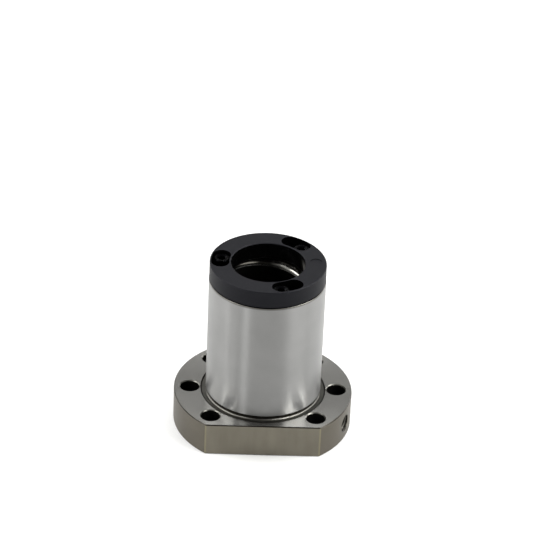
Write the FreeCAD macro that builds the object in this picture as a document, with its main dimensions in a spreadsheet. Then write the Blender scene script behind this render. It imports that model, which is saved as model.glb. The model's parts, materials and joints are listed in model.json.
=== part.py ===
import FreeCAD, Part
import math
import os

import Sketcher

# Flanged ball screw nut, 25 mm screw, 10 mm lead, right hand, one ball circuit with end caps.
# Millimetres. The origin is the centre of the flange's outer face, +Z runs along the screw axis
# towards the barrel's free end, and the flats of the flange face -Y and +Y.

TRACK_TURNS = 4
SCREWS_PER_CAP = 3
SCREW_OFFSET_ANGLE = 60.0

SIZES = {
    # ball track
    "lead": 10.0,
    "track_offset": 4.5,
    "ball_dia": 3.175,
    "ball_circle_dia": 25.8,
    "ball_play": 0.02,
    "ball_gap": 0.06,
    "groove_ease": 0.0635,
    "land_step": 0.3,
    # ball return
    "return_angle": -6.5,
    "return_wall": 0.5,
    "return_play": 0.1125,
    "bend_radius": 5.0,
    "guide_wall": 0.65,
    "guide_play": 0.05,
    # end caps
    "cap_thick": 6.0,
    "cap_recess": 2.0,
    "cap_step": 0.1,
    "cap_play": 0.2,
    "cap_bore_step": 0.2,
    "cap_break": 0.2,
    "mark_turn": 10.5,
    "mark_dia": 4.0,
    "mark_depth": 0.2,
    # cap screws and their kidney pockets
    "screw_dia": 3.0,
    "screw_length": 8.0,
    "screw_hole_play": 0.2,
    "head_dia": 5.5,
    "head_height": 3.0,
    "head_break": 0.3,
    "head_play": 0.35,
    "hex_across": 2.5,
    "hex_depth": 1.5,
    "socket_flare": 0.4,
    "thread_play": 0.025,
    "tap_spare": 1.5,
    "pocket_wall": 0.5,
    "pocket_depth": 4.0,
    "pocket_half_angle": 8.4,
    # grinding relief in the corner between barrel and flange
    "relief_width": 1.8,
    "relief_depth": 0.3,
    "relief_slope": 0.5,
    "relief_radius": 0.5,
    "undercut_depth": 0.3,
    "undercut_height": 1.2,
    # flange, with its bolt holes and flats
    "flange_thick": 12.0,
    "bolt_hole_dia": 6.6,
    "hole_wall": 0.1,
    "rim_wall": 2.2,
    "flat_wall": 2.2,
    "corner_hole_angle": 45.0,
    "edge_break": 0.3,
    "hole_break": 0.3,
    "barrel_break": 0.35,
    # grease port on the rim
    "port_angle": -22.5,
    "port_height": 6.0,
    "port_dia": 6.0,
    "port_flare": 0.3,
    "port_depth": 6.5,
    "passage_dia": 1.6,
    "passage_inset": 4.5,
}

# Sizes that follow from the driving ones, from the ball track outwards.
DERIVED = {
    "track_r": "dims.ball_circle_dia / 2",
    "groove_r": "dims.ball_dia / 2 + dims.groove_ease",
    "flank_shift": "(dims.groove_ease - dims.ball_play) * sqrt(0.5)",
    "groove_floor_r": "track_r - flank_shift + sqrt(groove_r * groove_r - flank_shift * flank_shift)",
    "land_r": "track_r + dims.land_step",
    "way_dia": "dims.ball_dia + 2 * dims.return_play",
    "return_r": "groove_floor_r + dims.return_wall + way_dia / 2",
    "reach": "sqrt(return_r * return_r - track_r * track_r)",
    "pickup_angle": "atan(reach / track_r) / 1 deg",
    "guide_width": "way_dia + 2 * dims.guide_wall",
    "cap_bore_r": "track_r - dims.cap_bore_step",
    "pocket_width": "dims.head_dia + 2 * dims.head_play",
    "screw_r": "cap_bore_r + dims.pocket_wall + pocket_width / 2",
    "cap_r": "screw_r + pocket_width / 2 + dims.pocket_wall",
    "screw_angle": f"{SCREW_OFFSET_ANGLE} - dims.pocket_half_angle",
    "head_seat": "dims.cap_thick - dims.pocket_depth",
    "barrel_r": "cap_r + dims.cap_step",
    "counterbore_r": "cap_r + dims.cap_play",
    "relief_r": "barrel_r + dims.relief_width",
    "bolt_circle_r": "relief_r + dims.hole_wall + dims.hole_break + dims.bolt_hole_dia / 2",
    "flange_r": "bolt_circle_r + dims.bolt_hole_dia / 2 + dims.rim_wall",
    "flat_reach": "relief_r + dims.flat_wall",
    "lower_seat": "dims.cap_recess + dims.cap_thick",
    "upper_seat": f"lower_seat + {TRACK_TURNS} * dims.lead + 2 * dims.track_offset",
    "track_foot": "lower_seat + dims.track_offset - dims.lead * (1 + dims.return_angle / 360)",
    "slope": "dims.lead / (2 * pi * track_r)",
    "slope_length": "sqrt(1 + slope * slope)",
    "pickup_depth": "dims.track_offset + dims.lead * pickup_angle / 360",
    "straight_run": "reach - dims.bend_radius * (1 + slope / slope_length)",
    "bend_lift": "straight_run * slope",
    "bend_depth": "pickup_depth - bend_lift + dims.bend_radius / slope_length",
    "port_floor_r": "flange_r - dims.port_depth",
    "passage_r": "flange_r - dims.passage_inset",
    "passage_aim": "track_foot + dims.lead * (1 + dims.port_angle / 360)",
    "passage_tilt": "atan((passage_aim - dims.port_height) / (passage_r - groove_floor_r)) / 1 deg",
}

Z_AXIS = FreeCAD.Vector(0, 0, 1)
X_AXIS = FreeCAD.Vector(1, 0, 0)
Y_AXIS = FreeCAD.Vector(0, 1, 0)
TOLERANCE = 1e-4

doc = FreeCAD.newDocument("ball_screw_nut")
dims = doc.addObject("Spreadsheet::Sheet", "dims")
for row, (alias, number) in enumerate(SIZES.items(), start=1):
    dims.set(f"A{row}", alias)
    dims.set(f"B{row}", str(number))
    dims.setAlias(f"B{row}", alias)
doc.recompute()

derived = doc.addObject("App::VarSet", "derived")
for name, formula in DERIVED.items():
    derived.addProperty("App::PropertyFloat", name)
    derived.setExpression(name, formula)
    doc.recompute()


def size(alias):
    """A driving size from the sheet."""
    return float(dims.get(alias))


def origin_feature(body, role):
    """One of the body's own origin planes or axes."""
    return next(item for item in body.Origin.OriginFeatures if item.Role == role)


def new_body(label):
    """An empty body named for the piece it becomes."""
    body = doc.addObject("PartDesign::Body", label)
    body.Label = label
    return body


def new_sketch(body, name, role, base=None, turn=None):
    """A sketch on an origin plane, moved to base and turned (axis, degrees) within that plane's frame."""
    sketch = body.newObject("Sketcher::SketchObject", name)
    sketch.AttachmentSupport = [(origin_feature(body, role), "")]
    sketch.MapMode = "FlatFace"
    rotation = FreeCAD.Rotation(*turn) if turn else FreeCAD.Rotation()
    sketch.AttachmentOffset = FreeCAD.Placement(FreeCAD.Vector(0, 0, 0), rotation)
    for axis, formula in (base or {}).items():
        sketch.setExpression(f"AttachmentOffset.Base.{axis}", formula)
    return sketch


def bind(sketch, kind, *where, formula):
    """A dimension of the sketch that follows a formula, first set to what is drawn."""
    if kind in ("DistanceX", "DistanceY"):
        point = sketch.getPoint(*where[-2:])
        drawn = point.x if kind == "DistanceX" else point.y
    else:
        drawn = sketch.Geometry[where[0]].Radius * (2 if kind == "Diameter" else 1)
    index = sketch.addConstraint(Sketcher.Constraint(kind, *where, drawn))
    sketch.setExpression(f"Constraints[{index}]", formula)


def bind_point(sketch, geometry, position, x, y):
    """Places one point of the sketch by formulas for its two coordinates."""
    origin = (-1, 1)
    bind(sketch, "DistanceX", *origin, geometry, position, formula=x)
    bind(sketch, "DistanceY", *origin, geometry, position, formula=y)


def draw_outline(sketch, corners):
    """A closed outline of straight lines through corners given as pairs of formulas."""
    count = len(corners)
    first = sketch.GeometryCount
    ring = [FreeCAD.Rotation(Z_AXIS, 360 * i / count).multVec(X_AXIS) for i in range(count)]
    for i in range(count):
        sketch.addGeometry(Part.LineSegment(ring[i], ring[(i + 1) % count]))
    for i in range(count):
        sketch.addConstraint(Sketcher.Constraint("Coincident", first + i, 2, first + (i + 1) % count, 1))
    for i, (x, y) in enumerate(corners):
        bind_point(sketch, first + i, 1, x, y)


def draw_circle(sketch, x, y, diameter):
    """A circle with its centre and diameter given by formulas."""
    circle = sketch.addGeometry(Part.Circle(FreeCAD.Vector(1, 1, 0), Z_AXIS, 1))
    bind_point(sketch, circle, 3, x, y)
    bind(sketch, "Diameter", circle, formula=diameter)


def arc(centre, radius, start, end):
    """A circular arc between two angles in degrees, counter-clockwise."""
    circle = Part.Circle(FreeCAD.Vector(*centre, 0), Z_AXIS, radius)
    return Part.ArcOfCircle(circle, math.radians(start), math.radians(end))


def add(body, kind, name, profile=None, **settings):
    """A feature of the body. A setting that is a formula starts with an equals sign."""
    feature = body.newObject(f"PartDesign::{kind}", name)
    if profile:
        feature.Profile = profile
    for key, setting in settings.items():
        if isinstance(setting, str) and setting.startswith("="):
            feature.setExpression(key, setting[1:])
        else:
            setattr(feature, key, setting)
    doc.recompute()
    return feature


def pattern(body, name, originals, count):
    """Copies of features, evenly spaced round the screw axis."""
    copies = body.newObject("PartDesign::PolarPattern", name)
    copies.Originals = originals
    copies.Axis = (origin_feature(body, "Z_Axis"), [""])
    copies.Angle = 360
    copies.Occurrences = count
    body.Tip = copies
    doc.recompute()
    return copies


def edges(feature, chosen):
    """The names of a feature's edges whose middle point and curve pass the test."""
    names = []
    for number, edge in enumerate(feature.Shape.Edges, start=1):
        middle = edge.valueAt((edge.FirstParameter + edge.LastParameter) / 2)
        if chosen(edge, math.hypot(middle.x, middle.y), middle.z):
            names.append(f"Edge{number}")
    return names


def near(first, second):
    return abs(first - second) < TOLERANCE


def draw_obround(sketch, length, width):
    """A slot outline with round ends, from the sketch's origin back along -X."""
    run, radius = 10.0, 2.0
    left = sketch.addGeometry(arc((-run, 0), radius, 90, 270))
    low = sketch.addGeometry(Part.LineSegment(FreeCAD.Vector(-run, -radius), FreeCAD.Vector(0, -radius)))
    right = sketch.addGeometry(arc((0, 0), radius, -90, 90))
    high = sketch.addGeometry(Part.LineSegment(FreeCAD.Vector(0, radius), FreeCAD.Vector(-run, radius)))
    for one, two in ((left, low), (low, right), (right, high), (high, left)):
        sketch.addConstraint(Sketcher.Constraint("Tangent", one, 2, two, 1))
    bind_point(sketch, right, 3, "0", "0")
    bind_point(sketch, left, 3, f"-({length})", "0")
    for end in (left, right):
        bind(sketch, "Radius", end, formula=f"({width}) / 2")


def draw_kidney(sketch):
    """A pocket outline curved along the screw circle, centred on the sketch's X axis."""
    mid, half, angle = derived.screw_r, derived.pocket_width / 2, size("pocket_half_angle")
    end = [mid * math.cos(math.radians(angle)), mid * math.sin(math.radians(angle))]
    outer = sketch.addGeometry(arc((0, 0), mid + half, -angle, angle))
    high = sketch.addGeometry(arc(end, half, angle, 180 + angle))
    inner = sketch.addGeometry(arc((0, 0), mid - half, -angle, angle))
    low = sketch.addGeometry(arc((end[0], -end[1]), half, 180 - angle, 360 - angle))
    joins = ((outer, 2, high, 1), (high, 2, inner, 2), (inner, 1, low, 1), (low, 2, outer, 1))
    for join in joins:
        sketch.addConstraint(Sketcher.Constraint("Tangent", *join))
    sketch.addConstraint(Sketcher.Constraint("Coincident", outer, 3, -1, 1))
    sketch.addConstraint(Sketcher.Constraint("Coincident", inner, 3, -1, 1))
    bind(sketch, "Radius", outer, formula="derived.screw_r + derived.pocket_width / 2")
    bind(sketch, "Radius", inner, formula="derived.screw_r - derived.pocket_width / 2")
    rise = "derived.screw_r * sin(dims.pocket_half_angle)"
    bind(sketch, "DistanceY", -1, 1, high, 3, formula=rise)
    bind(sketch, "DistanceY", -1, 1, low, 3, formula=f"-{rise}")


def draw_gothic_arch(sketch):
    """The ball track's section: two flanks that each touch the ball at 45 degrees and meet in a point."""
    centre_r, centre_z = derived.track_r, derived.track_foot
    radius, shift = derived.groove_r, derived.flank_shift
    tip = math.degrees(math.asin(shift / radius))
    side = math.degrees(math.acos(shift / radius))
    upper = sketch.addGeometry(arc((centre_r - shift, centre_z - shift), radius, tip, side))
    lower = sketch.addGeometry(arc((centre_r - shift, centre_z + shift), radius, -side, -tip))
    top = sketch.getPoint(upper, 2)
    foot = sketch.getPoint(lower, 1)
    chord = sketch.addGeometry(Part.LineSegment(top, foot))
    joins = ((upper, 1, lower, 2), (upper, 2, chord, 1), (chord, 2, lower, 1))
    for join in joins:
        sketch.addConstraint(Sketcher.Constraint("Coincident", *join))
    across = "derived.track_r - derived.flank_shift"
    bind_point(sketch, upper, 3, across, "derived.track_foot - derived.flank_shift")
    bind_point(sketch, lower, 3, across, "derived.track_foot + derived.flank_shift")
    bind(sketch, "Radius", upper, formula="derived.groove_r")
    bind(sketch, "Radius", lower, formula="derived.groove_r")
    bind(sketch, "DistanceX", -1, 1, chord, 1, formula="derived.track_r")
    bind(sketch, "DistanceX", -1, 1, chord, 2, formula="derived.track_r")


def seat_frame(end):
    """The frame of an end cap's seat: +Z out of the nut, +X towards the return bore."""
    turn = FreeCAD.Rotation(Z_AXIS, size("return_angle"))
    if end == "upper":
        return FreeCAD.Placement(FreeCAD.Vector(0, 0, derived.upper_seat), turn)
    flip = FreeCAD.Rotation(X_AXIS, 180)
    return FreeCAD.Placement(FreeCAD.Vector(0, 0, derived.lower_seat), turn.multiply(flip))


def guide_frame(end):
    """The frame of a return guide: origin on the return bore, +X the way a ball leaves the track."""
    step = FreeCAD.Vector(derived.return_r, 0, 0)
    turn = FreeCAD.Rotation(Z_AXIS, 90 - derived.pickup_angle)
    return seat_frame(end).multiply(FreeCAD.Placement(step, turn))


def sketch_in_frame(body, name, frame):
    """A sketch on the plane of a frame that is square to the screw axis."""
    sketch = body.newObject("Sketcher::SketchObject", name)
    sketch.AttachmentSupport = [(origin_feature(body, "XY_Plane"), "")]
    sketch.MapMode = "FlatFace"
    sketch.AttachmentOffset = frame
    return sketch


def make_blank(body):
    """The turned and ground form: flange, barrel, relief, bore and the lower cap's seat."""
    half_section = new_sketch(body, "half_section", "XZ_Plane")
    barrel = "derived.barrel_r"
    undercut = f"{barrel} - dims.undercut_depth"
    relief_foot = "dims.flange_thick - dims.relief_depth"
    undercut_top = "dims.flange_thick + dims.undercut_height"
    draw_outline(
        half_section,
        [
            ("derived.counterbore_r", "0"),
            ("derived.flange_r", "0"),
            ("derived.flange_r", "dims.flange_thick"),
            ("derived.relief_r", "dims.flange_thick"),
            ("derived.relief_r - dims.relief_slope", relief_foot),
            (undercut, relief_foot),
            (undercut, undercut_top),
            (barrel, f"{undercut_top} + dims.undercut_depth"),
            (barrel, "derived.upper_seat - dims.barrel_break"),
            (f"{barrel} - dims.barrel_break", "derived.upper_seat"),
            ("derived.land_r", "derived.upper_seat"),
            ("derived.land_r", "derived.lower_seat"),
            ("derived.counterbore_r", "derived.lower_seat"),
        ],
    )
    axis = (half_section, ["V_Axis"])
    blank = add(body, "Revolution", "blank", half_section, ReferenceAxis=axis, Angle=360)

    def in_relief(edge, radius, height):
        at_wall = near(radius, derived.barrel_r - size("undercut_depth"))
        return at_wall and near(height, size("flange_thick") - size("relief_depth"))

    corner = (blank, edges(blank, in_relief))
    add(body, "Fillet", "relief_corner", Base=corner, Radius="=dims.relief_radius")


def make_flange(body):
    """The flats, the broken edges and the bolt holes of the flange."""
    thick = size("flange_thick")
    sides = new_sketch(body, "flat_sides", "XY_Plane")
    wide = "derived.flange_r"
    for sign in ("", "-"):
        near_y = f"{sign}derived.flat_reach"
        far_y = f"{sign}{wide}"
        draw_outline(sides, [(f"-{wide}", near_y), (wide, near_y), (wide, far_y), (f"-{wide}", far_y)])
    flats = add(body, "Pocket", "flats", sides, Type="ThroughAll", Reversed=True)

    def on_outline(edge, radius, height):
        return radius > derived.flat_reach - TOLERANCE and height < thick + TOLERANCE

    rim = add(body, "Chamfer", "rim_breaks", Base=(flats, edges(flats, on_outline)), Size="=dims.edge_break")
    side_hole = new_sketch(body, "side_hole_place", "XY_Plane")
    draw_circle(side_hole, "derived.bolt_circle_r", "0", "dims.bolt_hole_dia")
    corner_hole = new_sketch(body, "corner_hole_place", "XY_Plane")
    along = "derived.bolt_circle_r * cos(dims.corner_hole_angle)"
    across = "derived.bolt_circle_r * sin(dims.corner_hole_angle)"
    draw_circle(corner_hole, along, across, "dims.bolt_hole_dia")
    holes = None
    for name, place, count in (("side_hole", side_hole, 2), ("corner_hole", corner_hole, 4)):
        one = add(body, "Pocket", name, place, Type="ThroughAll", Reversed=True)
        holes = pattern(body, f"{name}s", [one], count)

    def on_hole(edge, radius, height):
        round_edge = hasattr(edge.Curve, "Radius") and near(edge.Curve.Radius, size("bolt_hole_dia") / 2)
        return round_edge and (near(height, 0) or near(height, thick))

    add(body, "Chamfer", "hole_breaks", Base=(holes, edges(holes, on_hole)), Size="=dims.hole_break")


def make_port(body):
    """The tapped grease port on the rim and the slanted passage from it to the ball track."""
    turn = (Y_AXIS, size("port_angle"))
    section = new_sketch(body, "port_section", "XZ_Plane", {"y": "dims.port_height"}, turn)
    rim = "derived.flange_r"
    wall = "dims.port_dia / 2"
    draw_outline(
        section,
        [
            (f"derived.port_floor_r - {wall} / 2", "0"),
            ("derived.port_floor_r", wall),
            (f"{rim} - dims.port_flare", wall),
            (f"{rim} + dims.port_flare", f"{wall} + 2 * dims.port_flare"),
            (f"{rim} + dims.port_flare", "0"),
        ],
    )
    add(body, "Groove", "port", section, ReferenceAxis=(section, ["H_Axis"]), Angle=360)
    facing = FreeCAD.Rotation(*turn)
    start = facing.multVec(X_AXIS * derived.passage_r) + Y_AXIS * size("port_height")
    slanted = facing.multiply(FreeCAD.Rotation(Z_AXIS, -derived.passage_tilt))
    drill = new_sketch(body, "passage_section", "XZ_Plane")
    drill.AttachmentOffset = FreeCAD.Placement(start, slanted)
    inward = "-(derived.passage_r - derived.track_r) / cos(derived.passage_tilt)"
    draw_outline(
        drill,
        [(inward, "0"), ("0", "0"), ("0", "dims.passage_dia / 2"), (inward, "dims.passage_dia / 2")],
    )
    add(body, "Groove", "passage", drill, ReferenceAxis=(drill, ["H_Axis"]), Angle=360)


def make_return_way(body):
    """The return bore, and at each end the slot for the return guide and the tapped holes for the cap."""
    turn = (Z_AXIS, size("return_angle"))
    way = new_sketch(body, "return_place", "XY_Plane", None, turn)
    draw_circle(way, "derived.return_r", "0", "derived.way_dia")
    add(body, "Pocket", "return_bore", way, Type="ThroughAll", Reversed=True)
    for end in ("upper", "lower"):
        plan = sketch_in_frame(body, f"{end}_slot_plan", guide_frame(end))
        draw_obround(plan, "derived.reach", "derived.guide_width")
        add(body, "Pocket", f"{end}_guide_slot", plan, Length="=derived.bend_depth")
        place = sketch_in_frame(body, f"{end}_tap_place", seat_frame(end))
        along = "derived.screw_r * cos(derived.screw_angle)"
        across = "derived.screw_r * sin(derived.screw_angle)"
        draw_circle(place, along, across, "dims.screw_dia + 2 * dims.thread_play")
        deep = "=dims.screw_length - derived.head_seat + dims.tap_spare"
        tap = add(body, "Pocket", f"{end}_tap", place, Length=deep)
        pattern(body, f"{end}_taps", [tap], SCREWS_PER_CAP)


def make_track(body):
    """The right-hand ball track, ground right through the bore."""
    arch = new_sketch(body, "track_section", "XZ_Plane")
    draw_gothic_arch(arch)
    add(
        body,
        "SubtractiveHelix",
        "ball_track",
        arch,
        ReferenceAxis=(origin_feature(body, "Z_Axis"), [""]),
        Mode="pitch-height-angle",
        Pitch="=dims.lead",
        Height="=derived.upper_seat - derived.track_foot + dims.ball_dia",
        Refine=False,
    )


def make_nut_body():
    body = new_body("nut_body")
    make_blank(body)
    make_flange(body)
    make_port(body)
    make_return_way(body)
    make_track(body)
    return body


def make_cap(end):
    """An end cap: a moulded ring with kidney pockets for the screws and a faint round moulding mark."""
    body = new_body(f"{end}_end_cap")
    plan = new_sketch(body, "plan", "XY_Plane")
    draw_circle(plan, "0", "0", "2 * derived.cap_r")
    draw_circle(plan, "0", "0", "2 * derived.cap_bore_r")
    ring = add(body, "Pad", "ring", plan, Length="=dims.cap_thick")

    def is_round(edge, radius, height):
        return hasattr(edge.Curve, "Radius")

    add(body, "Chamfer", "breaks", Base=(ring, edges(ring, is_round)), Size="=dims.cap_break")
    outer_face = {"z": "dims.cap_thick"}
    pocket_plan = new_sketch(body, "pocket_plan", "XY_Plane", outer_face, (Z_AXIS, SCREW_OFFSET_ANGLE))
    draw_kidney(pocket_plan)
    pocket = add(body, "Pocket", "pocket", pocket_plan, Length="=dims.pocket_depth")
    hole_plan = new_sketch(body, "screw_hole_plan", "XY_Plane", outer_face, (Z_AXIS, derived.screw_angle))
    draw_circle(hole_plan, "derived.screw_r", "0", "dims.screw_dia + 2 * dims.screw_hole_play")
    hole = add(body, "Pocket", "screw_hole", hole_plan, Type="ThroughAll")
    pattern(body, "pockets", [pocket, hole], SCREWS_PER_CAP)
    mark_plan = new_sketch(body, "mark_plan", "XY_Plane", outer_face)
    along = "derived.screw_r * cos(dims.mark_turn)"
    across = "derived.screw_r * sin(dims.mark_turn)"
    draw_circle(mark_plan, along, across, "dims.mark_dia")
    add(body, "Pocket", "moulding_mark", mark_plan, Length="=dims.mark_depth")
    body.Placement = seat_frame(end)
    return body


def make_screws(end):
    """The socket-head screws of one cap, heads on the pocket floors at one end of each pocket."""
    body = new_body(f"{end}_cap_screws")
    section = new_sketch(body, "section", "XZ_Plane", {"x": "derived.screw_r"})
    seat = "derived.head_seat"
    top = f"{seat} + dims.head_height"
    draw_outline(
        section,
        [
            ("0", f"{seat} - dims.screw_length"),
            ("dims.screw_dia / 2 - dims.head_break", f"{seat} - dims.screw_length"),
            ("dims.screw_dia / 2", f"{seat} - dims.screw_length + dims.head_break"),
            ("dims.screw_dia / 2", seat),
            ("dims.head_dia / 2", seat),
            ("dims.head_dia / 2", f"{top} - dims.head_break"),
            ("dims.head_dia / 2 - dims.head_break", top),
            ("0", top),
        ],
    )
    screw = add(body, "Revolution", "screw", section, ReferenceAxis=(section, ["V_Axis"]), Angle=360)
    socket_plan = new_sketch(body, "socket_plan", "XY_Plane", {"x": "derived.screw_r", "z": top})
    corner = "dims.hex_across / sqrt(3)"
    corners = [(f"{corner} * cos({60 * i})", f"{corner} * sin({60 * i})") for i in range(6)]
    draw_outline(socket_plan, corners)
    socket = add(body, "Pocket", "socket", socket_plan, Length="=dims.hex_depth")
    flare_section = new_sketch(body, "flare_section", "XZ_Plane", {"x": "derived.screw_r"})
    mouth = f"({corner} + dims.socket_flare)"
    draw_outline(flare_section, [("0", top), (mouth, top), ("0", f"{top} - {mouth} / sqrt(3)")])
    flare = add(body, "Groove", "flare", flare_section, ReferenceAxis=(flare_section, ["V_Axis"]), Angle=360)
    pattern(body, "screws", [screw, socket, flare], SCREWS_PER_CAP)
    turn = FreeCAD.Rotation(Z_AXIS, derived.screw_angle)
    body.Placement = seat_frame(end).multiply(FreeCAD.Placement(FreeCAD.Vector(0, 0, 0), turn))
    return body


def make_guide_half(end, half):
    """Half of a return guide, split along the ball's path, with half of the channel in it."""
    body = new_body(f"{end}_return_guide_{half}")
    plan = new_sketch(body, "plan", "XY_Plane")
    draw_obround(plan, "derived.reach", "derived.guide_width - 2 * dims.guide_play")
    add(body, "Pad", "block", plan, Length="=derived.bend_depth - dims.guide_play", Reversed=True)
    far = "(derived.reach + derived.guide_width)"
    away = "-derived.guide_width" if half == "inner" else "derived.guide_width"
    split_plan = new_sketch(body, "split_plan", "XY_Plane")
    draw_outline(split_plan, [(f"-{far}", "0"), (far, "0"), (far, away), (f"-{far}", away)])
    add(body, "Pocket", "split", split_plan, Type="ThroughAll")
    bore_plan = new_sketch(body, "bore_plan", "XY_Plane")
    draw_circle(bore_plan, "-derived.reach", "derived.track_r", "2 * (derived.land_r + dims.guide_play)")
    add(body, "Pocket", "bore_side", bore_plan, Type="ThroughAll")
    path = new_sketch(body, "path", "XZ_Plane")
    draw_channel_path(path)
    mouth = new_sketch(body, "mouth", "XY_Plane", {"z": "-derived.bend_depth - dims.ball_dia"})
    draw_circle(mouth, "0", "0", "derived.way_dia")
    add(body, "SubtractivePipe", "channel", mouth, Spine=path)
    body.Placement = guide_frame(end)
    return body


def draw_channel_path(sketch):
    """The ball's way through a guide: up from the return bore, round the bend, down the track's tangent."""
    bend, slope = size("bend_radius"), math.degrees(math.atan(derived.slope))
    corner = FreeCAD.Vector(0, -derived.bend_depth)
    rise = sketch.addGeometry(Part.LineSegment(corner - Y_AXIS * size("ball_dia"), corner))
    turn = sketch.addGeometry(arc((-bend, -derived.bend_depth), bend, 0, 90 + slope))
    top = sketch.getPoint(turn, 2)
    ahead = FreeCAD.Vector(-1, -derived.slope) * derived.reach
    run = sketch.addGeometry(Part.LineSegment(top, top + ahead))
    sketch.addConstraint(Sketcher.Constraint("Tangent", rise, 2, turn, 1))
    sketch.addConstraint(Sketcher.Constraint("Tangent", turn, 2, run, 1))
    bind_point(sketch, rise, 1, "0", "-derived.bend_depth - dims.ball_dia")
    bind_point(sketch, turn, 3, "-dims.bend_radius", "-derived.bend_depth")
    bind(sketch, "Radius", turn, formula="dims.bend_radius")
    low_end = "-derived.pickup_depth - dims.ball_dia * derived.slope"
    bind_point(sketch, run, 2, "-derived.reach - dims.ball_dia", low_end)


def circuit_points():
    """Centres of the balls round the whole circuit: (stretch, centre), evenly spaced along the path."""
    track_r, lead, reach = derived.track_r, size("lead"), derived.reach
    bend, depth = size("bend_radius"), derived.bend_depth
    slope_angle = math.atan(derived.slope)
    turns = TRACK_TURNS - 2 * derived.pickup_angle / 360
    start_angle = size("return_angle") - derived.pickup_angle
    start_height = derived.upper_seat - derived.pickup_depth
    helix_length = turns * 2 * math.pi * track_r * derived.slope_length
    run_length = derived.straight_run * derived.slope_length
    bend_length = bend * (math.pi / 2 + slope_angle)
    back_length = derived.upper_seat - derived.lower_seat - 2 * depth
    guide_length = run_length + bend_length
    loop_length = helix_length + back_length + 2 * guide_length

    def on_helix(distance):
        turned = distance / helix_length * turns
        angle = math.radians(start_angle - 360 * turned)
        height = start_height - lead * turned
        return FreeCAD.Vector(track_r * math.cos(angle), track_r * math.sin(angle), height)

    def in_guide(end, distance):
        if distance < run_length:
            along = distance / derived.slope_length
            local = FreeCAD.Vector(along - reach, 0, along * derived.slope - derived.pickup_depth)
        else:
            angle = math.pi / 2 + slope_angle - (distance - run_length) / bend
            local = FreeCAD.Vector(bend * math.cos(angle) - bend, 0, bend * math.sin(angle) - depth)
        return guide_frame(end).multVec(local)

    def in_bore(distance):
        local = FreeCAD.Vector(0, 0, distance - (derived.upper_seat - derived.lower_seat - depth))
        return guide_frame("upper").multVec(local)

    chord = size("ball_dia") + size("ball_gap")
    pitch = 2 * bend * math.asin(chord / (2 * bend))
    count = int(loop_length / pitch)
    for number in range(count):
        distance = loop_length * (number + 0.5) / count
        if distance < helix_length:
            yield f"loaded_balls_turn_{1 + int(distance / helix_length * turns)}", on_helix(distance)
            continue
        distance -= helix_length
        if distance < guide_length:
            yield "returning_balls", in_guide("lower", distance)
        elif distance < guide_length + back_length:
            yield "returning_balls", in_bore(distance - guide_length)
        else:
            yield "returning_balls", in_guide("upper", guide_length * 2 + back_length - distance)


def make_balls():
    """The balls of the circuit, one group for each loaded turn and one for the way back."""
    groups = {}
    for number, (label, centre) in enumerate(circuit_points()):
        ball = doc.addObject("Part::Sphere", f"ball_{number}")
        ball.setExpression("Radius", "dims.ball_dia / 2")
        ball.Placement = FreeCAD.Placement(centre, FreeCAD.Rotation())
        groups.setdefault(label, []).append(ball)
    made = []
    for label, balls in groups.items():
        group = doc.addObject("Part::Compound", label)
        group.Label = label
        group.Links = balls
        made.append(group)
    return made


def check(pieces):
    """Stops the build if a feature failed, a cut removed nothing or a piece is not a valid solid."""
    for item in doc.Objects:
        if "Invalid" in item.State or "Error" in item.State:
            raise RuntimeError(f"{item.Label} failed: {item.State}")
        if item.isDerivedFrom("PartDesign::Body"):
            check_cuts(item)
    for piece in pieces:
        shape = piece.Shape
        if shape.isNull() or not shape.isValid() or not shape.Solids:
            raise RuntimeError(f"{piece.Label} has no valid solid")


def check_cuts(body):
    """Every cut of the body takes some material away."""
    kinds = ("Pocket", "Groove", "SubtractiveHelix", "SubtractivePipe")
    cuts = [f"PartDesign::{kind}" for kind in kinds]
    for item in body.Group:
        if item.TypeId in cuts and item.BaseFeature:
            if item.Shape.Volume > item.BaseFeature.Shape.Volume - TOLERANCE:
                raise RuntimeError(f"{body.Label}: {item.Label} cuts nothing")


pieces = [make_nut_body()]
for end in ("upper", "lower"):
    pieces.append(make_cap(end))
    pieces.append(make_screws(end))
    for half in ("inner", "outer"):
        pieces.append(make_guide_half(end, half))
pieces += make_balls()
doc.recompute()
check(pieces)
os.makedirs("parts", exist_ok=True)
for piece in pieces:
    piece.Shape.exportStep(f"parts/{piece.Label}.step")
    print(piece.Label, len(piece.Shape.Solids), round(piece.Shape.Volume, 3))
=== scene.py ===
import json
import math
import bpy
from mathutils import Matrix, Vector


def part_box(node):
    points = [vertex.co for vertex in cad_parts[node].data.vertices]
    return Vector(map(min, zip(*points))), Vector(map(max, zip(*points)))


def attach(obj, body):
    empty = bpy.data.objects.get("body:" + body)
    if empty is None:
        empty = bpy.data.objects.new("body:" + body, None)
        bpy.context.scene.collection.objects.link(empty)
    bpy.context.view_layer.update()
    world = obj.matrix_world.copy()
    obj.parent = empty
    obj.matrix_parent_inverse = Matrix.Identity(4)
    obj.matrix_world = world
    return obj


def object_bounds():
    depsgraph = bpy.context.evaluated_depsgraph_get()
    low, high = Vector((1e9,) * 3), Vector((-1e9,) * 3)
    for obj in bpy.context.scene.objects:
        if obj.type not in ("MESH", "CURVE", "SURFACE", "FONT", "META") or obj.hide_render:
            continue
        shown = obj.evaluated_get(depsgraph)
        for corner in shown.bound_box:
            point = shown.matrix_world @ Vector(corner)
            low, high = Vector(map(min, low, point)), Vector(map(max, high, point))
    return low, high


bl_info = {
    "name": "Flanged ball screw nut",
    "version": (1, 0, 0),
    "blender": (4, 5, 0),
    "location": "3D View > Sidebar > Ball nut",
    "description": "Finishes, port thread and stage for a flanged ball screw nut",
    "category": "3D View",
}

import bpy
from mathutils import Matrix, Vector

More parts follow.
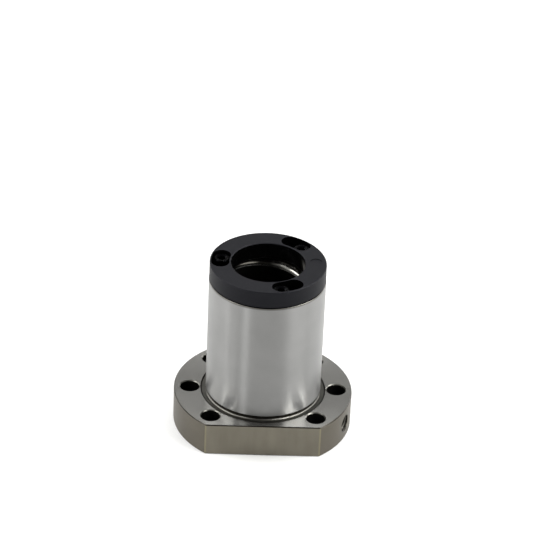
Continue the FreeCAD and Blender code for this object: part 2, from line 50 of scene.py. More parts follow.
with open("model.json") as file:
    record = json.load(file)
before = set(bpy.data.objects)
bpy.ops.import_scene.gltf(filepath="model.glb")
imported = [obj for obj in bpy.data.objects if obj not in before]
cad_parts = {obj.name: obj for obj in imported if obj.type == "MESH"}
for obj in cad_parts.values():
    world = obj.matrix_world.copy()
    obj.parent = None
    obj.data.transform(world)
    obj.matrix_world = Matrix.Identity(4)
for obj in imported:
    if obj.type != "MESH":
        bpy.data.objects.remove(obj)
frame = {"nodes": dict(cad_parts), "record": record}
CAD_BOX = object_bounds()
MM = 0.001
MOUNTS = {mount["name"]: mount for mount in frame["record"]["mounts"]}
RIM_RADIUS, HALF_FLATS, BODY_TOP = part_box("nut_body")[1]
BARREL_RADIUS = MOUNTS["barrel"]["dims"]["r_mm"] * MM
FLANGE_THICK = MOUNTS["flange_seat"]["pos_m"][2]
PORT = MOUNTS["grease_port"]

# places of a face that tell the cuts on the nut body apart
GROOVE_OUT, GROOVE_IN = BARREL_RADIUS + 1.85 * MM, BARREL_RADIUS - 0.5 * MM
GROOVE_DOWN, GROOVE_UP = -0.5 * MM, 1.6 * MM
ABOVE_FLANGE = 0.1 * MM
BARREL_SKIN = BARREL_RADIUS - 1.0 * MM
HOLES_FROM = BARREL_RADIUS - 5.0 * MM
EDGE = 0.6 * MM
# and how far its normal points one way, from 0 to 1, which does the same
LEVEL, TOWARDS_FLAT, SLOPED, LEANING, UPRIGHT, SQUARE = 0.9, 0.85, 0.5, 0.3, 0.1, 0.01

# heights between which the painted shade just under the cap fades out, and the painted shadow in the
# cap's joint ends
CAP_SHADE_FROM, CAP_SHADE_TO = BODY_TOP - 0.7 * MM, BODY_TOP - 0.95 * MM
JOINT_FROM, JOINT_TO = BODY_TOP - 0.27 * MM, BODY_TOP - 0.31 * MM
# places along X between which the painted shade on the track fades out
TRACK_SHADE_FROM, TRACK_SHADE_TO = 1.0 * MM, 5.0 * MM

# how near a cap's outside a face may lie and still be matt, outside the painted shade of the bore and
# pockets: at its round side, and at its two ends
CAP_SIDE, CAP_END = 0.5 * MM, 0.4 * MM

SENSOR_WIDTH = 36.0
WHITE = (1.0, 1.0, 1.0, 1.0)
FLOOR_SIDE = 6.0
FLOOR_GAP = 0.05 * MM
FAR_FROM, FAR_TO = 0.6, 1.4

# name, azimuth and elevation in degrees, distance, width and height in metres, power in watts
LAMPS = (
    # low lamps light the barrel's flanks and leave the band that faces the camera darker
    ("lamp_left_strip", -37.5, 13, 1.2, 0.24, 0.5, 2.3),
    ("lamp_left", -100, 9, 1.0, 1.1, 0.31, 6.0),
    ("lamp_right", 112, 9, 1.0, 0.9, 0.31, 5.6),
    # higher ones show in the flange's front, by way of the barrel
    ("lamp_left_high", -75, 37, 1.1, 0.45, 0.35, 5.4),
    ("lamp_left_back", -130, 37, 1.1, 0.9, 0.35, 2.6),
    ("lamp_right_high", 70, 37, 1.1, 0.8, 0.35, 15.0),
    # one high at the back gives the cap's face its sheen
    ("lamp_back_high", 174, 60, 1.2, 0.5, 0.3, 5.8),
)
# name, grey level, azimuth and elevation in degrees, distance, width and height in metres
CLOTHS = (
    # the barrel's middle and the cap's side mirror this one, which stands before the nut
    ("front_screen", 0.4, 3, 45, 1.6, 1.5, 2.2),
    # the flange's upper face mirrors this one, which stands behind it
    ("grey_screen", 0.34, 180, 38, 1.3, 2.2, 1.0),
)


def linear(code):
    """Scene-linear RGBA of an sRGB hex colour."""
    parts = [int(code[i : i + 2], 16) / 255 for i in (0, 2, 4)]
    return tuple(p / 12.92 if p <= 0.04045 else ((p + 0.055) / 1.055) ** 2.4 for p in parts) + (1.0,)


def colour(name, description, code):
    """A colour property with its default given as sRGB hex."""
    return bpy.props.FloatVectorProperty(
        name=name, description=description, subtype="COLOR", size=4, min=0, max=1, default=linear(code)
    )


def length(name, description, default):
    """A length property in metres."""
    return bpy.props.FloatProperty(name=name, description=description, unit="LENGTH", default=default)


def angle(name, description, degrees):
    """An angle property with its default given in degrees."""
    return bpy.props.FloatProperty(
        name=name, description=description, subtype="ANGLE", default=math.radians(degrees)
    )


def factor(name, description, default):
    """A property that runs from 0 to 1."""
    return bpy.props.FloatProperty(
        name=name, description=description, subtype="FACTOR", min=0, max=1, default=default
    )


class BALLNUT_PG_finish(bpy.types.PropertyGroup):
    """Colours and gloss of the nut's surfaces."""

    ground: colour("Ground barrel", "Steel of the barrel", "828281")
    # painted shade: the barrel darker in a band just under the cap
    cap_shade: colour("Barrel's end", "Steel at the barrel's end, where the grinding runs out", "5C5B58")
    faced: colour("Flange faces", "Steel of the faced flange", "A6A5A1")
    turned: colour("Flange rim", "Steel of the turned rim", "58544C")
    milled: colour("Flats", "Steel of the milled flats", "6B675D")
    # painted highlight: the corners between rim and flats lighter than the flats
    highlit: colour("Corners", "Steel of the filed corners between rim and flats", "76715F")
    # painted shade: the narrow chamfers and the relief groove's steep walls darker
    edge_shade: colour("Broken edges", "Steel of the narrow chamfers", "2C2A26")
    relief: colour("Relief groove", "Dull steel of the groove round the barrel's foot", "5E5D58")
    # painted shade: the walls inside the holes and the port dark
    shaded: colour("Holes", "Oily steel inside the drilled holes", "1A1918")
    track: colour("Ball track", "Ground steel of the ball track", "7A7974")
    seam: colour("Joint edge", "Steel of the barrel's edge under the cap", "6A6862")
    # painted shadow: black along the top of the barrel's edge, in the joint under the cap
    joint_shade: colour("Joint grease", "Grease that fills the joint under the cap", "020202")
    # painted shade inside the bore: the whole land, and the track towards -X
    grease: colour("Old grease", "Steel under old grease", "242320")
    tapped: colour("Port thread", "Steel of the grease port's thread", "504E49")
    acetal: colour("End caps", "Black acetal of the end caps and return guides", "09090C")
    # painted shade: the caps' bores and screw pockets deep black
    recess_shade: colour("Oiled acetal", "Black acetal of the caps' bores and screw pockets", "020202")
    oxide: colour("Cap screws", "Black oxide of the cap screws", "040405")
    ball: colour("Balls", "Polished steel of the balls", "C4C5C6")
    barrel_roughness: factor("Barrel roughness", "How far grinding lines spread a reflection", 0.31)
    flange_roughness: factor("Flange roughness", "How far turning lines spread a reflection", 0.25)
    acetal_roughness: factor("Cap roughness", "Gloss of the moulded caps", 0.54)


class BALLNUT_PG_thread(bpy.types.PropertyGroup):
    """Sizes of the grease port's thread."""

    radius: length("Nominal radius", "Radius at the thread's root", PORT["dims"]["r_mm"] * MM)
    pitch: length("Pitch", "Distance from turn to turn", 1.0 * MM)
    depth: length("Depth", "Height of the thread from root to crest", 0.54 * MM)
    crest: length("Crest width", "Width of the flat crest", 0.25 * MM)
    mouth_gap: length("Mouth gap", "Unthreaded countersink at the rim", 0.5 * MM)


class BALLNUT_PG_stage(bpy.types.PropertyGroup):
    """Camera, floor and fill light."""

    place: bpy.props.FloatVectorProperty(
        name="Camera place",
        description="Where the camera stands",
        unit="LENGTH",
        default=(-0.02264, -0.77385, 0.52774),
    )
    aim: bpy.props.FloatVectorProperty(
        name="Camera aim",
        description="The point at the picture's middle",
        unit="LENGTH",
        default=(-0.000563, 0.0, 0.061302),
    )
    roll: angle("Camera roll", "Turn of the camera about its line of sight", 2.492)
    lens: bpy.props.FloatProperty(
        name="Lens", description="Focal length in mm", unit="CAMERA", default=180.0
    )
    floor: colour("Floor", "White paper under the nut", "BCBCBA")
    floor_glow: factor("Floor glow", "White that the floor adds for the eye and in reflections", 0.46)
    fill: factor("Fill light", "Level of the even light from all round", 0.35)


class BALLNUT_PG_settings(bpy.types.PropertyGroup):
    """All settings of the nut."""

    finish: bpy.props.PointerProperty(
        type=BALLNUT_PG_finish, name="Finish", description="Colours and gloss"
    )
    thread: bpy.props.PointerProperty(
        type=BALLNUT_PG_thread, name="Thread", description="Grease port thread"
    )
    stage: bpy.props.PointerProperty(
        type=BALLNUT_PG_stage, name="Stage", description="Camera and light"
    )


def add_node(tree, kind, sockets=None, **settings):
    """Adds a node, with its settings and a value or another node's output for each socket named."""
    node = tree.nodes.new(kind)
    for key, value in settings.items():
        setattr(node, key, value)
    for socket, value in (sockets or {}).items():
        if isinstance(value, bpy.types.NodeSocket):
            tree.links.new(value, node.inputs[socket])
        else:
            node.inputs[socket].default_value = value
    return node


def new_material(name):
    """An empty material with a surface shader on its output: (material, tree, shader)."""
    material = bpy.data.materials.new(name)
    material.use_nodes = True
    tree = material.node_tree
    tree.nodes.clear()
    shader = add_node(tree, "ShaderNodeBsdfPrincipled")
    add_node(tree, "ShaderNodeOutputMaterial", {"Surface": shader.outputs["BSDF"]})
    return material, tree, shader


def per_metre(millimetres):
    """Repeats in a metre of a pattern of this size."""
    return 1 / (millimetres * MM)


def tool_marks(tree, lay, spacing, run):
    """Noise drawn out along the cutting direction: spacing and run of the marks in mm."""
    place = add_node(tree, "ShaderNodeTexCoord").outputs["Object"]
    across, along = per_metre(spacing), per_metre(run)
    if lay == "faced":
        flat = add_node(
            tree, "ShaderNodeVectorMath", {0: place, 1: (1, 1, 0)}, operation="MULTIPLY"
        )
        radius = add_node(tree, "ShaderNodeVectorMath", {0: flat.outputs[0]}, operation="LENGTH")
        marks = add_node(
            tree,
            "ShaderNodeTexNoise",
            {"W": radius.outputs["Value"], "Scale": across, "Detail": 2.0},
            noise_dimensions="1D",
        )
        return marks.outputs["Fac"]
    scale = (along, along, across) if lay == "round" else (across, across, along)
    drawn = add_node(tree, "ShaderNodeMapping", {"Vector": place, "Scale": scale})
    marks = add_node(
        tree, "ShaderNodeTexNoise", {"Vector": drawn.outputs[0], "Scale": 1.0, "Detail": 2.0}
    )
    return marks.outputs["Fac"]


def shade_along(tree, tint, painted_shade, axis, start, end):
    """The tint darkened by painted shade, which lies before start on an object axis and is gone by end.
    """
    place = add_node(tree, "ShaderNodeTexCoord").outputs["Object"]
    split = add_node(tree, "ShaderNodeSeparateXYZ", {"Vector": place})
    bare = add_node(
        tree,
        "ShaderNodeMapRange",
        {"Value": split.outputs[axis], "From Min": start, "From Max": end},
    )
    mixed = add_node(
        tree, "ShaderNodeMix", {"Factor": bare.outputs[0], "A": painted_shade, "B": tint}, data_type="RGBA"
    )
    return mixed.outputs["Result"]


def machined_steel(
    name, tint, *, roughness, lay, spacing, run, depth, drag, vary=0.05, streak=0.1, painted_shade=None
):
    """Cut or ground steel. Its marks run along the lay, with spacing, run and depth in mm. They smear
    reflections across it by drag, and vary the roughness and, as streaks, the tint. Painted shade over
    part of it is given by its colour, axis, start and end."""
    material, tree, shader = new_material(name)
    if painted_shade:
        tint = shade_along(tree, tint, *painted_shade)
    marks = tool_marks(tree, lay, spacing, run)
    place = add_node(tree, "ShaderNodeTexCoord").outputs["Object"]
    # handling leaves a film of oil in patches of about a centimetre
    oil = add_node(tree, "ShaderNodeTexNoise", {"Vector": place, "Scale": per_metre(9), "Detail": 3.0})
    shade = add_node(
        tree, "ShaderNodeMapRange", {"Value": oil.outputs["Fac"], "To Min": 0.9, "To Max": 1.1}
    )
    lines = add_node(
        tree, "ShaderNodeMapRange", {"Value": marks, "To Min": 1 - streak, "To Max": 1 + streak}
    )
    both = add_node(
        tree, "ShaderNodeMath", {0: shade.outputs[0], 1: lines.outputs[0]}, operation="MULTIPLY"
    )
    tinted = add_node(
        tree,
        "ShaderNodeMix",
        {"Factor": 1.0, "A": tint, "B": both.outputs[0]},
        data_type="RGBA",
        blend_type="MULTIPLY",
    )
    spread = add_node(
        tree,
        "ShaderNodeMapRange",
        {"Value": marks, "To Min": roughness - vary, "To Max": roughness + vary},
    )
    relief = add_node(
        tree, "ShaderNodeBump", {"Height": marks, "Distance": depth * MM, "Strength": 0.5}
    )
    if lay == "upright":
        way = add_node(tree, "ShaderNodeCombineXYZ", {"Z": 1.0}).outputs[0]
    else:
        way = add_node(tree, "ShaderNodeTangent", direction_type="RADIAL", axis="Z").outputs[0]
    shader.inputs["Metallic"].default_value = 1.0
    shader.inputs["Anisotropic"].default_value = drag
    # a quarter turn lays the smear across the marks
    shader.inputs["Anisotropic Rotation"].default_value = 0.25
    tree.links.new(tinted.outputs["Result"], shader.inputs["Base Color"])
    tree.links.new(spread.outputs[0], shader.inputs["Roughness"])
    tree.links.new(relief.outputs[0], shader.inputs["Normal"])
    tree.links.new(way, shader.inputs["Tangent"])
    return material


def nut_steels(finish):
    """The steel of the nut body, one material for each way it was cut."""
    return {
        # ground between centres: rings round the barrel, drawn at 0.4 mm so that they show, with
        # reflections drawn out up and down it; darker just under the cap: painted shade
        "ground": machined_steel(
            "bearing_steel_ground", finish.ground, roughness=finish.barrel_roughness, lay="round",
            spacing=0.4, run=400, depth=0.00005, drag=0.97, vary=0.008, streak=0.03,
            painted_shade=(finish.cap_shade, "Z", CAP_SHADE_FROM, CAP_SHADE_TO),
        ),
        # faced on the lathe: fine circles, drawn at a third of a millimetre so that they show
        "faced": machined_steel(
            "bearing_steel_faced", finish.faced, roughness=finish.flange_roughness, lay="faced",
            spacing=0.35, run=1, depth=0.0004, drag=0.65, vary=0.02, streak=0.05,
        ),
        # turned round the rim, then hardened: darker and warmer than the ground faces
        "turned": machined_steel(
            "bearing_steel_turned", finish.turned, roughness=0.46, lay="round",
            spacing=0.3, run=20, depth=0.004, drag=0.6,
        ),
        # milled flats: soft upright bands from the side of the cutter
        "milled": machined_steel(
            "bearing_steel_milled", finish.milled, roughness=0.44, lay="upright",
            spacing=3.5, run=14, depth=0.003, drag=0.4, vary=0.06, streak=0.2,
        ),
        # corners between rim and flats: a thin line, lighter and warmer than the faces beside it,
        # painted highlight
        "highlit": machined_steel(
            "bearing_steel_highlit", finish.highlit, roughness=0.4, lay="upright",
            spacing=0.5, run=8, depth=0.002, drag=0.3,
        ),
        # narrow chamfers and the relief's steep walls, turned: a darker line along each edge, painted
        # shade
        "edge_shade": machined_steel(
            "bearing_steel_edge_shade", finish.edge_shade, roughness=0.35, lay="round",
            spacing=0.4, run=30, depth=0.001, drag=0.3,
        ),
        # edge under the cap: black along its top, painted shadow in the joint under the cap, and a
        # light line below
        "seam": machined_steel(
            "bearing_steel_joint", finish.seam, roughness=0.3, lay="round",
            spacing=0.4, run=30, depth=0.001, drag=0.3,
            painted_shade=(finish.joint_shade, "Z", JOINT_FROM, JOINT_TO),
        ),
        # grinding relief and the holes' countersinks, turned and not ground: dull
        "relief": machined_steel(
            "bearing_steel_relief", finish.relief, roughness=0.34, lay="faced",
            spacing=0.3, run=1, depth=0.002, drag=0.5,
        ),
        # holes from the drill: dull, and dark with painted shade
        "shaded": machined_steel(
            "bearing_steel_shaded", finish.shaded, roughness=0.5, lay="round",
            spacing=0.3, run=6, depth=0.006, drag=0.3,
        ),
        # ground and honed track, with painted shade: nearly black towards -X, brighter towards +X
        "track": machined_steel(
            "bearing_steel_honed", finish.track, roughness=0.21, lay="round",
            spacing=0.4, run=25, depth=0.001, drag=0.5,
            painted_shade=(finish.grease, "X", TRACK_SHADE_FROM, TRACK_SHADE_TO),
        ),
        # the land between the turns, which only clears the screw: painted shade all over, dark as the
        # inside of the bore
        "land": machined_steel(
            "bearing_steel_bore_shade", finish.grease, roughness=0.3, lay="round",
            spacing=0.4, run=25, depth=0.001, drag=0.3,
        ),
    }


def steel_zone(centre, normal):
    """Which cut made a face of the nut body, from the face's middle and normal."""
    radius = math.hypot(centre.x, centre.y)
    outward = (normal.x * centre.x + normal.y * centre.y) / radius
    above_seat = centre.z - FLANGE_THICK
    tilt = abs(normal.z)
    in_groove = GROOVE_IN < radius < GROOVE_OUT and GROOVE_DOWN < above_seat < GROOVE_UP
    if in_groove and outward > -LEVEL:
        steep_wall = outward < -LEANING or normal.z < UPRIGHT
        return "edge_shade" if steep_wall else "relief"
    if tilt > LEVEL:
        return "faced"
    if above_seat > ABOVE_FLANGE:
        if outward < LEANING or radius < BARREL_SKIN:
            return "track" if tilt > UPRIGHT else "land"
        return "seam" if normal.z > LEANING else "ground"
    on_outline = outward > SLOPED and radius > HALF_FLATS
    if on_outline and tilt > SLOPED:
        return "edge_shade"
    if on_outline and abs(normal.y) > TOWARDS_FLAT and abs(centre.y) > HALF_FLATS - EDGE:
        return "milled" if abs(normal.x) < SQUARE else "highlit"
    if on_outline and radius > RIM_RADIUS - EDGE:
        return "turned"
    if tilt > SLOPED:
        return "relief"
    return "shaded" if radius > HOLES_FROM else "track"


def acetal(name, tint, gloss, sheen):
    """Black acetal: deep grey-black with a fine even skin and a soft sheen."""
    material, tree, shader = new_material(name)
    place = add_node(tree, "ShaderNodeTexCoord").outputs["Object"]
    # spark-eroded mould skin, drawn at a quarter of a millimetre so that it shows
    skin = add_node(
        tree, "ShaderNodeTexNoise", {"Vector": place, "Scale": per_metre(0.25), "Detail": 2.0}
    )
    # the melt's flow leaves faint clouds of some millimetres
    flow = add_node(tree, "ShaderNodeTexNoise", {"Vector": place, "Scale": per_metre(7), "Detail": 2.0})
    shade = add_node(
        tree, "ShaderNodeMapRange", {"Value": flow.outputs["Fac"], "To Min": 0.85, "To Max": 1.15}
    )
    tinted = add_node(
        tree,
        "ShaderNodeMix",
        {"Factor": 1.0, "A": tint, "B": shade.outputs[0]},
        data_type="RGBA",
        blend_type="MULTIPLY",
    )
    spread = add_node(
        tree,
        "ShaderNodeMapRange",
        {"Value": flow.outputs["Fac"], "To Min": gloss - 0.05, "To Max": gloss + 0.05},
    )
    relief = add_node(
        tree,
        "ShaderNodeBump",
        {"Height": skin.outputs["Fac"], "Distance": 0.004 * MM, "Strength": 0.6},
    )
    shader.inputs["IOR"].default_value = 1.48
    shader.inputs["Specular IOR Level"].default_value = sheen
    shader.inputs["Specular Tint"].default_value = linear("F2F4FF")
    tree.links.new(tinted.outputs["Result"], shader.inputs["Base Color"])
    tree.links.new(spread.outputs[0], shader.inputs["Roughness"])
    tree.links.new(relief.outputs[0], shader.inputs["Normal"])
    return material


def black_oxide(finish):
    """Black oxide on steel, dipped and then given oil: blue-black, patchy, with a greasy shine."""
    material, tree, shader = new_material("black_oxide_steel")
    place = add_node(tree, "ShaderNodeTexCoord").outputs["Object"]
    patch = add_node(
        tree, "ShaderNodeTexNoise", {"Vector": place, "Scale": per_metre(0.8), "Detail": 3.0}
    )
    worn = tuple(1.8 * channel for channel in finish.oxide[:3]) + (1.0,)
    tinted = add_node(
        tree,
        "ShaderNodeMix",
        {"Factor": patch.outputs["Fac"], "A": finish.oxide, "B": worn},
        data_type="RGBA",
    )
    spread = add_node(
        tree, "ShaderNodeMapRange", {"Value": patch.outputs["Fac"], "To Min": 0.2, "To Max": 0.34}
    )
    shader.inputs["Metallic"].default_value = 1.0
    tree.links.new(tinted.outputs["Result"], shader.inputs["Base Color"])
    tree.links.new(spread.outputs[0], shader.inputs["Roughness"])
    return material


def ball_steel(finish):
    """Chrome steel, lapped and polished: a mirror with a faint haze of oil."""
    material, tree, shader = new_material("chrome_steel_lapped")
    place = add_node(tree, "ShaderNodeTexCoord").outputs["Object"]
    haze = add_node(
        tree, "ShaderNodeTexNoise", {"Vector": place, "Scale": per_metre(1.2), "Detail": 2.0}
    )
    spread = add_node(
        tree, "ShaderNodeMapRange", {"Value": haze.outputs["Fac"], "To Min": 0.05, "To Max": 0.12}
    )
    shader.inputs["Base Color"].default_value = finish.ball
    shader.inputs["Metallic"].default_value = 1.0
    tree.links.new(spread.outputs[0], shader.inputs["Roughness"])
    return material


def dress(material, names):
    """Gives whole CAD nodes one material."""
    for name in names:
        materials = frame["nodes"][name].data.materials
        materials.clear()
        materials.append(material)


def nodes_with(part):
    """The CAD nodes whose names hold a word, which must be there."""
    names = [name for name in frame["nodes"] if part in name]
    if not names:
        raise RuntimeError(f"no node is named for {part}")
    return names


class BALLNUT_OT_body(bpy.types.Operator):
    """Give each face of the nut body the steel finish of the cut that made it"""

    bl_idname = "ballnut.body"
    bl_label = "Finish nut body"

    def execute(self, context):
        steels = nut_steels(context.scene.ball_nut.finish)
        zones = list(steels)
        mesh = frame["nodes"]["nut_body"].data
        mesh.materials.clear()
        for steel in steels.values():
            mesh.materials.append(steel)
        for face in mesh.polygons:
            face.material_index = zones.index(steel_zone(face.center, face.normal))
        return {"FINISHED"}


class BALLNUT_OT_caps(bpy.types.Operator):
    """Give the end caps and the return guides their moulded acetal"""

    bl_idname = "ballnut.caps"
    bl_label = "Finish caps and guides"

    def execute(self, context):
        finish = context.scene.ball_nut.finish
        # injection moulded: even and matt
        moulded = acetal("black_acetal_moulded", finish.acetal, finish.acetal_roughness, sheen=0.155)
        # the bore and the screw pockets: smooth, and deep black with painted shade
        recess_shade = acetal("black_acetal_recess_shade", finish.recess_shade, gloss=0.2, sheen=0.1)
        dress(moulded, nodes_with("return_guide"))
        for name in nodes_with("end_cap"):
            mesh = frame["nodes"][name].data
            dress(moulded, [name])
            mesh.materials.append(recess_shade)
            low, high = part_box(name)
            for face in mesh.polygons:
                # faces deep in the bore and the pockets take the painted shade
                inside = math.hypot(face.center.x, face.center.y) < BARREL_RADIUS - CAP_SIDE
                sunk = low[2] + CAP_END < face.center.z < high[2] - CAP_END
                in_shade = inside and (sunk or abs(face.normal.z) < UPRIGHT)
                face.material_index = 1 if in_shade else 0
        return {"FINISHED"}


class BALLNUT_OT_screws(bpy.types.Operator):
    """Give the cap screws their black oxide"""

    bl_idname = "ballnut.screws"
    bl_label = "Finish cap screws"

    def execute(self, context):
        dress(black_oxide(context.scene.ball_nut.finish), nodes_with("cap_screws"))
        return {"FINISHED"}


class BALLNUT_OT_balls(bpy.types.Operator):
    """Give the balls their polish"""

    bl_idname = "ballnut.balls"
    bl_label = "Finish balls"

    def execute(self, context):
        dress(ball_steel(context.scene.ball_nut.finish), nodes_with("balls"))
        return {"FINISHED"}


def thread_ridge(thread, run):
    """Vertices and faces of a right-hand inner thread's ridge along +X, from 0 to run."""
    steps = 40
    fade_steps = steps / 2
    embed = 0.02 * MM
    # a foot under half the pitch leaves a root between the turns
    half_foot = 0.44 * thread.pitch
    total = int((run - 2 * half_foot) / thread.pitch * steps)
    verts, faces = [], []
    for step in range(total + 1):
        turn = 2 * math.pi * step / steps
        along = half_foot + thread.pitch * step / steps
        # the ridge fades out over half a turn at each end
        fade = min(1.0, step / fade_steps, (total - step) / fade_steps)
        crest = thread.radius - thread.depth * fade
        section = (
            (thread.radius + embed, -half_foot),
            (crest, -thread.crest / 2),
            (crest, thread.crest / 2),
            (thread.radius + embed, half_foot),
        )
        for radius, offset in section:
            verts.append((along + offset, radius * math.cos(turn), radius * math.sin(turn)))
    for step in range(total):
        for corner in range(4):
            this, other = 4 * step + corner, 4 * step + (corner + 1) % 4
            faces.append((this, other, other + 4, this + 4))
    faces.append((3, 2, 1, 0))
    faces.append(tuple(4 * total + corner for corner in range(4)))
    return verts, faces


class BALLNUT_OT_thread(bpy.types.Operator):
    """Cut the thread of the grease port"""

    bl_idname = "ballnut.thread"
    bl_label = "Thread grease port"

    def execute(self, context):
        settings = context.scene.ball_nut
        thread = settings.thread
        outward = Vector(PORT["axis"]).normalized()
        run = PORT["dims"]["length_mm"] * MM
        foot = RIM_RADIUS - thread.mouth_gap - run
        verts, faces = thread_ridge(thread, run)
        mesh = bpy.data.meshes.new("port_thread")
        mesh.from_pydata(verts, [], faces)
        mesh.update()
        turn = outward.to_track_quat("X", "Z").to_matrix().to_4x4()
        height = Vector((0, 0, PORT["pos_m"][2]))
        mesh.transform(Matrix.Translation(height + outward * foot) @ turn)
        for face in mesh.polygons:
            face.use_smooth = True
        mesh.set_sharp_from_angle(angle=math.radians(35))
        # cut by a tap: brighter than the painted shade on the hole's wall, with a soft shine
        mesh.materials.append(
            machined_steel(
                "bearing_steel_tapped", settings.finish.tapped, roughness=0.45, lay="round",
                spacing=0.3, run=6, depth=0.002, drag=0.3,
            )
        )
        piece = bpy.data.objects.new("port_thread", mesh)
        context.scene.collection.objects.link(piece)
        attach(piece, "root")
        return {"FINISHED"}


def set_camera(scene, stage):
    """The camera of the photograph's view."""
    camera = bpy.data.cameras.new("camera")
    camera.lens = stage.lens
    camera.sensor_width = SENSOR_WIDTH
    holder = bpy.data.objects.new("camera", camera)
    scene.collection.objects.link(holder)
    place, aim = Vector(stage.place), Vector(stage.aim)
    look = (aim - place).to_track_quat("-Z", "Y").to_matrix().to_4x4()
    holder.matrix_world = Matrix.Translation(place) @ look @ Matrix.Rotation(stage.roll, 4, "Z")
    scene.camera = holder


def seen(tree):
    """1 for rays from the camera and those that metal or glass sends on, otherwise 0."""
    path = add_node(tree, "ShaderNodeLightPath").outputs
    mirrored = add_node(
        tree,
        "ShaderNodeMath",
        {0: path["Is Glossy Ray"], 1: path["Is Transmission Ray"]},
        operation="MAXIMUM",
    )
    either = add_node(
        tree,
        "ShaderNodeMath",
        {0: path["Is Camera Ray"], 1: mirrored.outputs[0]},
        operation="MAXIMUM",
    )
    return either.outputs[0]


def set_world(scene, stage):
    """White all round for the eye, and an even fill light on the nut."""
    world = bpy.data.worlds.new("white_room")
    world.use_nodes = True
    tree = world.node_tree
    tree.nodes.clear()
    fill = add_node(tree, "ShaderNodeBackground", {"Color": WHITE, "Strength": stage.fill})
    shown = add_node(tree, "ShaderNodeBackground", {"Color": WHITE, "Strength": 1.0})
    mixed = add_node(
        tree, "ShaderNodeMixShader", {0: seen(tree), 1: fill.outputs[0], 2: shown.outputs[0]}
    )
    add_node(tree, "ShaderNodeOutputWorld", {"Surface": mixed.outputs[0]})
    scene.world = world


def rectangle(scene, name, width, height, material):
    """A flat rectangle round its own origin."""
    mesh = bpy.data.meshes.new(name)
    w, h = width / 2, height / 2
    mesh.from_pydata([(-w, -h, 0), (w, -h, 0), (w, h, 0), (-w, h, 0)], [], [(0, 1, 2, 3)])
    mesh.materials.append(material)
    holder = bpy.data.objects.new(name, mesh)
    scene.collection.objects.link(holder)
    return holder


def set_floor(scene, stage):
    """White paper that keeps the nut's soft shadow."""
    material, tree, shader = new_material("white_paper")
    place = add_node(tree, "ShaderNodeTexCoord").outputs["Object"]
    # pressed fibres, drawn at 2 mm so that they show
    fibre = add_node(
        tree, "ShaderNodeTexNoise", {"Vector": place, "Scale": per_metre(2), "Detail": 3.0}
    )
    relief = add_node(
        tree,
        "ShaderNodeBump",
        {"Height": fibre.outputs["Fac"], "Distance": 0.01 * MM, "Strength": 0.2},
    )
    shader.inputs["Base Color"].default_value = stage.floor
    shader.inputs["Roughness"].default_value = 0.9
    shader.inputs["Specular IOR Level"].default_value = 0.1
    shader.inputs["Emission Color"].default_value = WHITE
    tree.links.new(relief.outputs[0], shader.inputs["Normal"])
    reach = add_node(tree, "ShaderNodeVectorMath", {0: place}, operation="LENGTH").outputs["Value"]
    # the paper under the flange lies in the dark
    open_paper = add_node(
        tree,
        "ShaderNodeMapRange",
        {
            "Value": reach,
            "From Min": 0.7 * RIM_RADIUS,
            "From Max": RIM_RADIUS,
            "To Max": stage.floor_glow,
        },
    )
    # far off, where the lamps don't reach, it fades into the white room
    far_paper = add_node(
        tree,
        "ShaderNodeMapRange",
        {"Value": reach, "From Min": FAR_FROM, "From Max": FAR_TO, "To Max": 1 - stage.floor_glow},
    )
    paper = add_node(
        tree, "ShaderNodeMath", {0: open_paper.outputs[0], 1: far_paper.outputs[0]}, operation="ADD"
    )
    glow = add_node(
        tree, "ShaderNodeMath", {0: seen(tree), 1: paper.outputs[0]}, operation="MULTIPLY"
    )
    tree.links.new(glow.outputs[0], shader.inputs["Emission Strength"])
    floor = rectangle(scene, "floor", FLOOR_SIDE, FLOOR_SIDE, material)
    floor.location.z = CAD_BOX[0][2] - FLOOR_GAP


def facing_nut(azimuth, elevation, distance):
    """A place round the nut, facing it: azimuth to the right of the camera's side, in degrees."""
    around, up = math.radians(azimuth), math.radians(elevation)
    away = Vector((math.sin(around) * math.cos(up), -math.cos(around) * math.cos(up), math.sin(up)))
    middle = Vector((0, 0, (CAD_BOX[0][2] + CAD_BOX[1][2]) / 2))
    turn = away.to_track_quat("Z", "Y").to_matrix().to_4x4()
    return Matrix.Translation(middle + away * distance) @ turn


def softbox(scene, name, azimuth, elevation, distance, width, height, power):
    """A soft lamp that faces the nut."""
    lamp = bpy.data.lights.new(name, "AREA")
    lamp.shape = "RECTANGLE"
    lamp.size = width
    lamp.size_y = height
    lamp.energy = power
    holder = bpy.data.objects.new(name, lamp)
    holder.visible_camera = False
    scene.collection.objects.link(holder)
    holder.matrix_world = facing_nut(azimuth, elevation, distance)


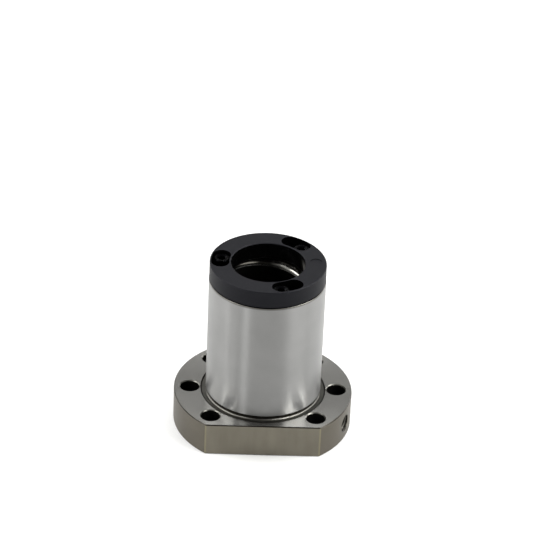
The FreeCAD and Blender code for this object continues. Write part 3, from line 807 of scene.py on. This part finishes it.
def cloth(scene, name, level, azimuth, elevation, distance, width, height):
    """A cloth that faces the nut, outside the picture, and shades what the steel mirrors."""
    material, tree, shader = new_material(f"{name}_cloth")
    place = add_node(tree, "ShaderNodeTexCoord").outputs["Object"]
    weave = add_node(tree, "ShaderNodeTexNoise", {"Vector": place, "Scale": per_metre(3)})
    shade = add_node(
        tree,
        "ShaderNodeMapRange",
        {"Value": weave.outputs["Fac"], "To Min": 0.8 * level, "To Max": 1.2 * level},
    )
    tree.links.new(shade.outputs[0], shader.inputs["Base Color"])
    shader.inputs["Roughness"].default_value = 1.0
    screen = rectangle(scene, name, width, height, material)
    screen.visible_camera = False
    screen.matrix_world = facing_nut(azimuth, elevation, distance)


class BALLNUT_OT_stage(bpy.types.Operator):
    """Set up the camera, the white room, the floor, the lamps and the cloths"""

    bl_idname = "ballnut.stage"
    bl_label = "Set stage"

    def execute(self, context):
        scene = context.scene
        stage = scene.ball_nut.stage
        scene.view_settings.view_transform = "Standard"
        set_camera(scene, stage)
        set_world(scene, stage)
        set_floor(scene, stage)
        for lamp in LAMPS:
            softbox(scene, *lamp)
        for screen in CLOTHS:
            cloth(scene, *screen)
        return {"FINISHED"}


class BALLNUT_PT_panel(bpy.types.Panel):
    """Lists the steps that finish the nut, with their settings"""

    bl_idname = "BALLNUT_PT_panel"
    bl_label = "Ball screw nut"
    bl_space_type = "VIEW_3D"
    bl_region_type = "UI"
    bl_category = "Ball nut"

    def draw(self, context):
        settings = context.scene.ball_nut
        for operator in OPERATORS:
            self.layout.operator(operator.bl_idname)
        for group in (settings.finish, settings.thread, settings.stage):
            box = self.layout.box()
            for name in group.bl_rna.properties.keys():
                if name not in ("rna_type", "name"):
                    box.prop(group, name)


GROUPS = (BALLNUT_PG_finish, BALLNUT_PG_thread, BALLNUT_PG_stage, BALLNUT_PG_settings)
OPERATORS = (
    BALLNUT_OT_body,
    BALLNUT_OT_caps,
    BALLNUT_OT_screws,
    BALLNUT_OT_balls,
    BALLNUT_OT_thread,
    BALLNUT_OT_stage,
)
CLASSES = GROUPS + OPERATORS + (BALLNUT_PT_panel,)


def register():
    for item in CLASSES:
        bpy.utils.register_class(item)
    bpy.types.Scene.ball_nut = bpy.props.PointerProperty(type=BALLNUT_PG_settings)


def unregister():
    del bpy.types.Scene.ball_nut
    for item in reversed(CLASSES):
        bpy.utils.unregister_class(item)


def main():
    register()
    bpy.ops.ballnut.body()
    bpy.ops.ballnut.caps()
    bpy.ops.ballnut.screws()
    bpy.ops.ballnut.balls()
    bpy.ops.ballnut.thread()
    bpy.ops.ballnut.stage()


if __name__ == "__main__":
    main()
